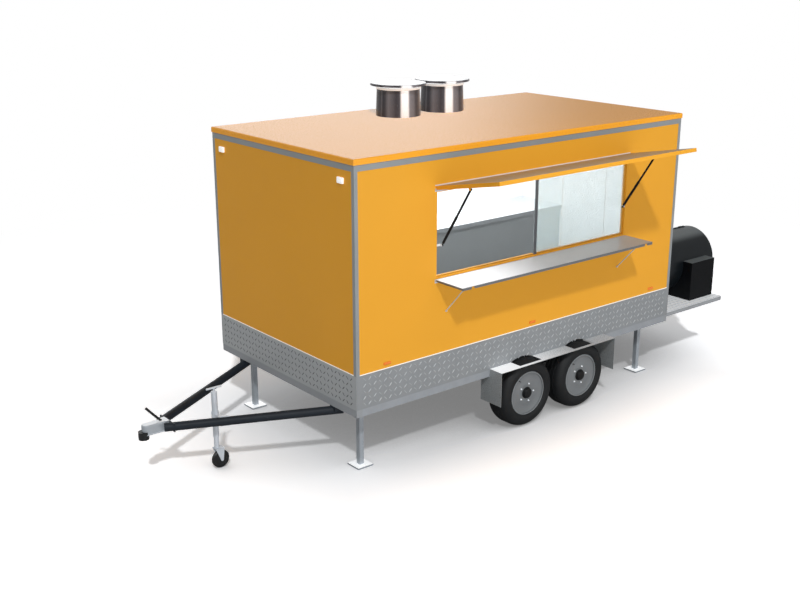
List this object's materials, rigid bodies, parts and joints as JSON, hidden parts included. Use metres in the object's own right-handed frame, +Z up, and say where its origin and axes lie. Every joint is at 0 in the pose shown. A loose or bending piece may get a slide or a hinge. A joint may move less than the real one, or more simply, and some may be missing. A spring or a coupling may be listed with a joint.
{
  "type": "food trailer",
  "caption": "Towed food trailer with a box cabin, serving hatch and shelf, tandem wheels, A-frame drawbar, drop legs and a rear porch with a smoker.",
  "frame": {"origin": "on the floor under the middle of the whole trailer's bounding box", "axes": "+X to the rear porch along the length, drawbar towards -X, +Y away from the serving side, +Z up"},
  "size_m": [6.458, 3.0382, 3.01],
  "materials": {
    "chassis_steel": "satin",
    "drawbar_steel": "satin",
    "zinc_steel": "satin",
    "panel": "gloss",
    "floor_board": "matte",
    "trim_aluminium": "satin",
    "checker_plate": "satin",
    "tyre": "matte",
    "wheel_disc": "satin",
    "black_rubber": "matte",
    "black_steel": "satin",
    "stainless": "polished",
    "cabinet_steel": "satin",
    "glass": "clear",
    "lamp_lens": "gloss"
  },
  "bodies": {
    "trailer": {"axle_tubes": "black_steel", "ball_cup": "black_steel", "chassis_rails": "chassis_steel", "corner_posts": "trim_aluminium", "counter_cabinet": "cabinet_steel", "counter_top": "stainless", "coupling_head": "zinc_steel", "coupling_lever": "black_steel", "cross_members": "chassis_steel", "drawbar": "drawbar_steel", "drop_legs": "chassis_steel", "fenders": "zinc_steel", "firebox": "black_steel", "floor": "floor_board", "front_wall": "panel", "hinge_leaves": "trim_aluminium", "jockey_handle": "zinc_steel", "jockey_tube": "zinc_steel", "kick_plates": "checker_plate", "lamps": "lamp_lens", "leaf_springs": "black_steel", "leg_brackets": "chassis_steel", "pivot_brackets": "zinc_steel", "plain_wall": "panel", "porch_deck": "trim_aluminium", "rear_wall": "panel", "roof_band": "trim_aluminium", "roof_panel": "panel", "roof_vents": "stainless", "service_wall": "panel", "smoker_barrel": "black_steel", "smoker_grate": "black_steel", "spring_hangers": "chassis_steel", "wheel_boxes": "chassis_steel", "window_frame": "trim_aluminium", "window_glass": "glass"},
    "wheel_front_service": {"tyre_front_service": "tyre", "rim_front_service": "wheel_disc"},
    "wheel_front_plain": {"tyre_front_plain": "tyre", "rim_front_plain": "wheel_disc"},
    "wheel_rear_service": {"tyre_rear_service": "tyre", "rim_rear_service": "wheel_disc"},
    "wheel_rear_plain": {"tyre_rear_plain": "tyre", "rim_rear_plain": "wheel_disc"},
    "hatch": {"hatch_panel": "panel", "hatch_leaf": "trim_aluminium"},
    "strut_bodies": {"strut_tubes": "black_steel"},
    "strut_rams": {"strut_rods": "zinc_steel"},
    "shelf": {"shelf_panel": "stainless"},
    "stays": {"shelf_stays": "zinc_steel"},
    "door": {"door_leaf": "panel"},
    "smoker_cover": {"smoker_lid": "black_steel"},
    "fire_door": {"firebox_door": "black_steel"},
    "jockey_post": {"jockey_leg": "zinc_steel"},
    "jockey_caster": {"jockey_fork": "zinc_steel"},
    "jockey_roller": {"jockey_wheel": "black_rubber"}
  },
  "joints": [
    {"name": "wheel_front_service_spin", "type": "hinge", "parent": "trailer", "child": "wheel_front_service", "pos_m": [0.0955, -0.75586, 0.325], "axis": [0, 1, 0], "continuous": true},
    {"name": "wheel_front_plain_spin", "type": "hinge", "parent": "trailer", "child": "wheel_front_plain", "pos_m": [0.0955, 1.35414, 0.325], "axis": [0, 1, 0], "continuous": true},
    {"name": "wheel_rear_service_spin", "type": "hinge", "parent": "trailer", "child": "wheel_rear_service", "pos_m": [0.8125, -0.75586, 0.325], "axis": [0, 1, 0], "continuous": true},
    {"name": "wheel_rear_plain_spin", "type": "hinge", "parent": "trailer", "child": "wheel_rear_plain", "pos_m": [0.8125, 1.35414, 0.325], "axis": [0, 1, 0], "continuous": true},
    {"name": "hatch_swing", "type": "hinge", "parent": "trailer", "child": "hatch", "pos_m": [0.2405, -0.77736, 2.358], "axis": [-1, 0, 0], "range_deg": [-101.4, 0]},
    {"name": "strut_tilt", "type": "hinge", "parent": "hatch", "child": "strut_bodies", "pos_m": [0.2405, -1.11559, 2.4058], "axis": [1, 0, 0], "range_deg": [-134.27, 0]},
    {"name": "strut_stroke", "type": "slide", "parent": "strut_bodies", "child": "strut_rams", "axis": [0, 0.5427, -0.8399], "range_m": [-0.275, 0]},
    {"name": "shelf_swing", "type": "hinge", "parent": "trailer", "child": "shelf", "pos_m": [0.2405, -0.78186, 1.582], "axis": [-1, 0, 0], "range_deg": [-90, 0]},
    {"name": "stay_swing", "type": "hinge", "parent": "trailer", "child": "stays", "pos_m": [0.2405, -0.77786, 1.293], "axis": [-1, 0, 0], "range_deg": [-137.76, 0]},
    {"name": "door_swing", "type": "hinge", "parent": "trailer", "child": "door", "pos_m": [2.2093, 0.70714, 1.57], "axis": [0, 0, 1], "range_deg": [0, 100]},
    {"name": "smoker_lid_swing", "type": "hinge", "parent": "trailer", "child": "smoker_cover", "pos_m": [2.909, -0.20043, 1.31422], "axis": [1, 0, 0], "range_deg": [0, 70]},
    {"name": "fire_door_swing", "type": "hinge", "parent": "trailer", "child": "fire_door", "pos_m": [3.1073, -0.64686, 0.8], "axis": [0, 0, -1], "range_deg": [0, 110]},
    {"name": "jockey_wind", "type": "slide", "parent": "trailer", "child": "jockey_post", "axis": [0, 0, -1], "range_m": [-0.09, 0.2]},
    {"name": "jockey_swivel", "type": "hinge", "parent": "jockey_post", "child": "jockey_caster", "pos_m": [-2.586, 0.17414, 0.183], "axis": [0, 0, 1], "continuous": true},
    {"name": "jockey_roll", "type": "hinge", "parent": "jockey_caster", "child": "jockey_roller", "pos_m": [-2.556, 0.17414, 0.08], "axis": [0, 1, 0], "continuous": true}
  ],
  "couplings": [
    {"joint": "strut_tilt", "follows": "hatch_swing", "ratio": 1.3241},
    {"joint": "strut_stroke", "follows": "hatch_swing", "m_per_rad": 0.15539},
    {"joint": "stay_swing", "follows": "shelf_swing", "ratio": 1.5306}
  ]
}
